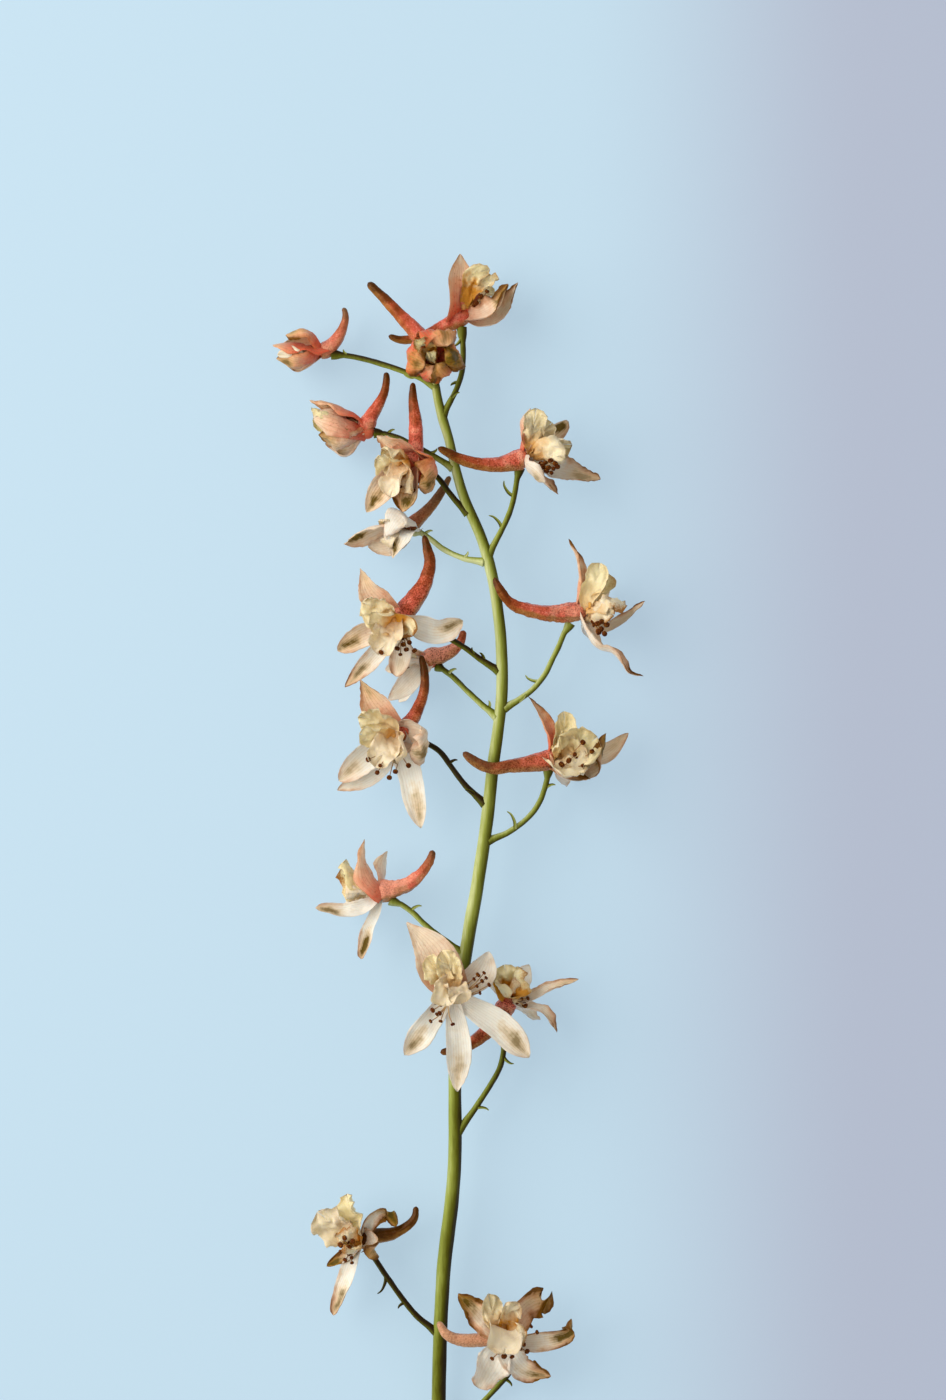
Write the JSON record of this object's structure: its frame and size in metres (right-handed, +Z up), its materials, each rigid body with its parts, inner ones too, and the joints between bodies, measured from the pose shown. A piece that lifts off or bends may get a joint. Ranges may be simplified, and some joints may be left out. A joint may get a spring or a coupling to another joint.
{
  "type": "cut delphinium flower stem",
  "caption": "Cut delphinium spike lying flat: green stem with stalked, spurred flowers in pink and cream, pale yellow petals and dark stamens; a decorative cut flower.",
  "frame": {"origin": "centre of the bounding box in X and Y, at the level of the surface that the stem lies on", "axes": "+Y along the stem from its cut end to the topmost flower, +X to the right as the picture shows it, +Z up from the surface towards the viewer of the picture"},
  "size_m": [0.1124, 0.3682, 0.0339],
  "materials": {
    "stem_green": "matt living plant stem",
    "sepals": "soft satin sepals, cream to coral pink",
    "petals": "soft matt petals, pale yellow with ochre",
    "stamens": "dusty dark brown anthers on tan filaments"
  },
  "bodies": {
    "root": {"stem": "stem_green", "bloom_01_calyx": "sepals", "bloom_01_petals": "petals", "bloom_01_stamens": "stamens", "bloom_02_calyx": "sepals", "bloom_02_petals": "petals", "bloom_02_stamens": "stamens", "bloom_03_calyx": "sepals", "bloom_03_petals": "petals", "bloom_03_stamens": "stamens", "bloom_04_calyx": "sepals", "bloom_04_petals": "petals", "bloom_04_stamens": "stamens", "bloom_05_calyx": "sepals", "bloom_05_petals": "petals", "bloom_05_stamens": "stamens", "bloom_06_calyx": "sepals", "bloom_06_petals": "petals", "bloom_06_stamens": "stamens", "bloom_07_calyx": "sepals", "bloom_07_petals": "petals", "bloom_07_stamens": "stamens", "bloom_08_calyx": "sepals", "bloom_08_petals": "petals", "bloom_08_stamens": "stamens", "bloom_09_calyx": "sepals", "bloom_09_petals": "petals", "bloom_09_stamens": "stamens", "bloom_10_calyx": "sepals", "bloom_10_petals": "petals", "bloom_10_stamens": "stamens", "bloom_11_calyx": "sepals", "bloom_11_petals": "petals", "bloom_11_stamens": "stamens", "bloom_12_calyx": "sepals", "bloom_12_petals": "petals", "bloom_12_stamens": "stamens", "bloom_13_calyx": "sepals", "bloom_13_petals": "petals", "bloom_13_stamens": "stamens", "bloom_14_calyx": "sepals", "bloom_14_petals": "petals", "bloom_14_stamens": "stamens", "bloom_15_calyx": "sepals", "bloom_15_petals": "petals", "bloom_15_stamens": "stamens", "bloom_16_calyx": "sepals", "bloom_16_petals": "petals", "bloom_16_stamens": "stamens", "bloom_17_calyx": "sepals", "bloom_17_petals": "petals", "bloom_17_stamens": "stamens"}
  },
  "joints": []
}
